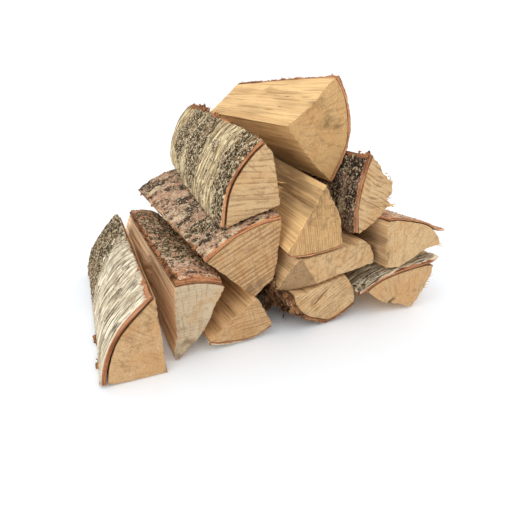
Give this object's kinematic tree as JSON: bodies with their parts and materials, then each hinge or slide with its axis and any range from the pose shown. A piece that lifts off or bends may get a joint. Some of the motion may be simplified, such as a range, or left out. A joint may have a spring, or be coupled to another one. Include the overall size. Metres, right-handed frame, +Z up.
{
  "type": "stack of split birch firewood",
  "caption": "Loose stack of split birch logs, lying side by side and on each other, with sawn end faces, split inner faces and bark on the outside.",
  "frame": {"origin": "on the floor under the middle of the stack, at the bottom centre of its bounding box", "axes": "+Z up, the sawn front ends face -Y and the logs run back along +Y, +X to the right of someone who faces the front ends"},
  "size_m": [0.3756, 0.2962, 0.2401],
  "materials": {
    "tan_wood": "dry split and sawn birch, tan, unfinished",
    "pale_wood": "dry split and sawn birch, light, unfinished",
    "yellow_wood": "dry split and sawn birch, yellow, unfinished",
    "grey_wood": "dry split and sawn birch, greyed, unfinished",
    "white_bark": "papery silver birch bark with dark streaks",
    "grey_bark": "rough grey bark with lichen",
    "brown_bark": "rough brown bark",
    "dark_bark": "rough dark bark with pale specks"
  },
  "bodies": {
    "root": {"left_end_wood": "tan_wood", "left_end_bark": "white_bark", "left_wedge_wood": "grey_wood", "left_wedge_bark": "brown_bark", "base_left_wood": "tan_wood", "base_left_bark": "white_bark", "base_middle_wood": "pale_wood", "base_middle_bark": "dark_bark", "base_right_wood": "tan_wood", "base_right_bark": "white_bark", "dark_log_wood": "tan_wood", "dark_log_bark": "grey_bark", "slab_wood": "pale_wood", "right_upper_wood": "pale_wood", "right_upper_bark": "brown_bark", "silver_log_wood": "pale_wood", "silver_log_bark": "white_bark", "centre_wood": "yellow_wood", "centre_bark": "brown_bark", "right_dark_wood": "pale_wood", "right_dark_bark": "dark_bark", "top_wood": "yellow_wood", "top_bark": "brown_bark"}
  },
  "joints": []
}
